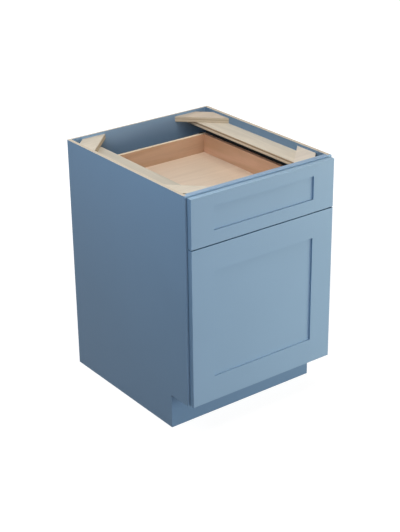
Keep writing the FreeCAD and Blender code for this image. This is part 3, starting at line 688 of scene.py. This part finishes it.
def screw_mesh(name, radius, rise, material):
    """A screw head with a cross recess. It stands on z = 0, and its shank goes below."""
    work = bmesh.new()
    shank = ringed(work, SHANK_RADIUS, -SHANK_DEPTH)
    neck = ringed(work, SHANK_RADIUS, 0)
    under = ringed(work, radius, 0)
    shoulder = ringed(work, radius, rise * SCREW_SHOULDER)
    rim = ringed(work, radius * SCREW_RIM, rise)
    for below, above in ((shank, neck), (neck, under), (under, shoulder), (shoulder, rim)):
        joined(work, below, above)
    work.faces.new(list(reversed(shank)))
    outline = cross_outline(radius * CROSS_REACH, radius * CROSS_HALF_WIDTH)
    lip = [work.verts.new((x, y, rise)) for x, y in outline]
    pit = [work.verts.new((x, y, rise - RECESS_DEPTH)) for x, y in outline]
    joined(work, pit, lip)
    work.faces.new(pit)
    pairs = neighbours(rim) + neighbours(lip)
    edges = [work.edges.get(pair) or work.edges.new(pair) for pair in pairs]
    bmesh.ops.triangle_fill(work, use_beauty=True, edges=edges)
    bmesh.ops.recalc_face_normals(work, faces=work.faces)
    return finished_mesh(work, name, material)


def placed(name, mesh, place, facing, body):
    """Set a piece so that its own +Z points the way it faces, and let it ride."""
    piece = bpy.data.objects.new(name, mesh)
    turn = Vector(facing).to_track_quat("Z", "Y").to_matrix().to_4x4()
    piece.matrix_world = Matrix.Translation(place) @ turn
    bpy.context.scene.collection.objects.link(piece)
    bpy.context.view_layer.update()
    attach(piece, body)


def hinge_screws(mesh):
    for end in ("upper", "lower"):
        low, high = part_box("hinge_arm_" + end)
        level = (low.z + high.z) / 2
        along = high.y - PLATE_SCREW_INSET
        for number, way in enumerate((-1, 1)):
            name = "plate_screw_%s_%d" % (end, number)
            place = (low.x, along, level + way * PLATE_SCREW_SPACING / 2)
            placed(name, mesh, place, (-1, 0, 0), "cabinet")
        low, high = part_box("hinge_cup_" + end)
        across = high.x - CUP_RADIUS - WING_OFFSET
        for number, way in enumerate((-1, 1)):
            name = "wing_screw_%s_%d" % (end, number)
            place = (across, high.y, level + way * WING_SCREW_SPACING / 2)
            placed(name, mesh, place, (0, 1, 0), "door")


def slide_screws(flat, pan):
    for side, way in (("left", -1), ("right", 1)):
        low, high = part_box("slide_cabinet_member_" + side)
        level = (low.z + high.z) / 2
        web = way * (max(abs(low.x), abs(high.x)) - SLIDE_SHEET)
        rows = (("front", low.y + SLIDE_SCREW_INSET), ("rear", high.y - SLIDE_SCREW_INSET))
        for row, along in rows:
            for number, up in enumerate((-1, 1)):
                name = "slide_screw_%s_%s_%d" % (side, row, number)
                place = (web, along, level + up * SLIDE_SCREW_SPACING / 2)
                placed(name, flat, place, (-way, 0, 0), "cabinet")
        low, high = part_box("slide_rear_socket_" + side)
        foot = way * (max(abs(low.x), abs(high.x)) - SOCKET_SCREW_INSET)
        for number, up in enumerate((-1, 1)):
            name = "socket_screw_%s_%d" % (side, number)
            place = (foot, high.y - SOCKET_SHEET, level + up * SOCKET_SCREW_SPACING / 2)
            placed(name, pan, place, (0, -1, 0), "cabinet")


def drawer_front_screws(pan):
    """The screws that hold the drawer front, driven from inside the box."""
    low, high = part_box("drawer_box_front")
    span = high.x - FRONT_SCREW_INSET
    for side, across in (("left", -span), ("right", span)):
        for number, share in enumerate(FRONT_SCREW_LEVELS):
            name = "front_screw_%s_%d" % (side, number)
            place = (across, high.y, low.z + (high.z - low.z) * share)
            placed(name, pan, place, (0, 1, 0), "drawer")


def ball_rows(material):
    """The steel balls that roll between the slide members, one mesh to a cage."""
    for cage, (body, radius, edge, inset) in BALL_ROWS.items():
        for side, way in (("left", -1), ("right", 1)):
            low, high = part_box("ball_cage_%s_%s" % (cage, side))
            across = way * (min(abs(low.x), abs(high.x)) + inset)
            pitch = (high.y - low.y - 2 * BALL_END_SPACE) / (BALLS_IN_ROW - 1)
            work = bmesh.new()
            for level in (low.z + edge, high.z - edge):
                for number in range(BALLS_IN_ROW):
                    along = low.y + BALL_END_SPACE + number * pitch
                    bmesh.ops.create_uvsphere(
                        work, u_segments=BALL_SEGMENTS, v_segments=BALL_RINGS, radius=radius,
                        matrix=Matrix.Translation((across, along, level)),
                    )
            for face in work.faces:
                face.smooth = True
            name = "slide_balls_%s_%s" % (cage, side)
            balls = bpy.data.objects.new(name, finished_mesh(work, name, material))
            bpy.context.scene.collection.objects.link(balls)
            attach(balls, body)


def fittings():
    nickel = plated("nickel_screws")
    zinc = plated("zinc_screws")
    hinge_screws(screw_mesh("hinge_screw", HINGE_SCREW_RADIUS, HINGE_SCREW_RISE, nickel))
    flat = screw_mesh("slide_screw", SLIDE_SCREW_RADIUS, SLIDE_SCREW_RISE, zinc)
    pan = screw_mesh("pan_screw", PAN_SCREW_RADIUS, PAN_SCREW_RISE, zinc)
    slide_screws(flat, pan)
    drawer_front_screws(pan)
    ball_rows(plated("bright_balls"))


# Room, lamps and camera

def from_angles(azimuth, elevation):
    """The way from the cabinet towards something seen at these angles."""
    turn, rise = math.radians(azimuth), math.radians(elevation)
    across = math.cos(rise)
    return Vector((math.sin(turn) * across, -math.cos(turn) * across, math.sin(rise)))


def lamps():
    for name, (azimuth, elevation, distance, size, level, tint) in LAMPS.items():
        light = bpy.data.lights.new(name, "AREA")
        light.shape = "RECTANGLE"
        light.size, light.size_y = size
        light.color = tint
        # The power at which a white surface facing the lamp shines at its level
        light.energy = level * math.pi ** 2 * distance ** 2
        towards = from_angles(azimuth, elevation)
        stand = bpy.data.objects.new(name, light)
        stand.location = Vector(LAMP_AIM) + towards * distance
        stand.rotation_euler = towards.to_track_quat("Z", "Y").to_euler()
        bpy.context.scene.collection.objects.link(stand)


def seen_directly(made):
    """One for rays that show the background itself: those from the camera and
    those that metal and clear rubber pass on."""
    path = made.add("ShaderNodeLightPath")
    total = path.outputs["Is Camera Ray"]
    for kind in ("Is Glossy Ray", "Is Transmission Ray"):
        total = made.maths("MAXIMUM", total, path.outputs[kind])
    return total


def room():
    world = bpy.data.worlds.new("studio")
    bpy.context.scene.world = world
    world.use_nodes = True
    made = Nodes(world.node_tree)
    ambient = made.tree.nodes["Background"]
    ambient.inputs["Color"].default_value = WHITE
    ambient.inputs["Strength"].default_value = AMBIENT_LEVEL
    white = made.result("ShaderNodeBackground", {"Color": WHITE, "Strength": 1.0})
    surface = made.either(seen_directly(made), ambient.outputs[0], white)
    made.feed(made.tree.nodes["World Output"].inputs["Surface"], surface)


def floor_white():
    """White where it is seen, with a faint shadow round the cabinet. It throws little
    light back up."""
    material = bpy.data.materials.new("floor_white")
    material.use_nodes = True
    made = Nodes(material.node_tree)
    made.tree.nodes.clear()
    glow = made.result("ShaderNodeEmission", {"Color": WHITE, "Strength": FLOOR_GLOW})
    lit = made.result("ShaderNodeBsdfDiffuse", {"Color": WHITE})
    bounce = made.result("ShaderNodeBsdfDiffuse", {"Color": FLOOR_BOUNCE_COLOUR})
    place = made.add("ShaderNodeTexCoord").outputs["Object"]
    reach = made.result("ShaderNodeVectorMath", {0: place}, "Value", operation="LENGTH")
    shadow = made.remap(reach, FLOOR_SHADOW_NEAR, FLOOR_SHADOW_FAR, FLOOR_SHADOW_SHARE, 0.0)
    shown = made.either(shadow, glow, lit)
    surface = made.either(seen_directly(made), bounce, shown)
    made.feed(made.add("ShaderNodeOutputMaterial").inputs["Surface"], surface)
    return material


def floor():
    mesh = bpy.data.meshes.new("floor")
    half = FLOOR_HALF_SIZE
    corners = [(-half, -half, 0), (half, -half, 0), (half, half, 0), (-half, half, 0)]
    mesh.from_pydata(corners, [], [(0, 1, 2, 3)])
    mesh.materials.append(floor_white())
    ground = bpy.data.objects.new("floor", mesh)
    ground.location.z = cad_box[0].z - FLOOR_DROP
    bpy.context.scene.collection.objects.link(ground)


def camera():
    turn, roll = math.radians(VIEW_AZIMUTH), math.radians(VIEW_ROLL)
    back = from_angles(VIEW_AZIMUTH, VIEW_ELEVATION)
    level = Vector((math.cos(turn), math.sin(turn), 0))
    upright = back.cross(level)
    across = level * math.cos(roll) + upright * math.sin(roll)
    up = upright * math.cos(roll) - level * math.sin(roll)
    data = bpy.data.cameras.new("photo_camera")
    data.sensor_width = SENSOR_MM
    data.lens = FOCAL_PIXELS * SENSOR_MM / LONG_SIDE_PIXELS
    eye = bpy.data.objects.new("photo_camera", data)
    eye.matrix_world = Matrix.Translation(EYE) @ Matrix((across, up, back)).transposed().to_4x4()
    bpy.context.scene.collection.objects.link(eye)
    bpy.context.scene.camera = eye


dress_fronts()
dress_carcass()
dress_drawer_box()
dress_hardware()
fittings()
lamps()
room()
floor()
camera()
bpy.context.scene.view_settings.view_transform = "Standard"
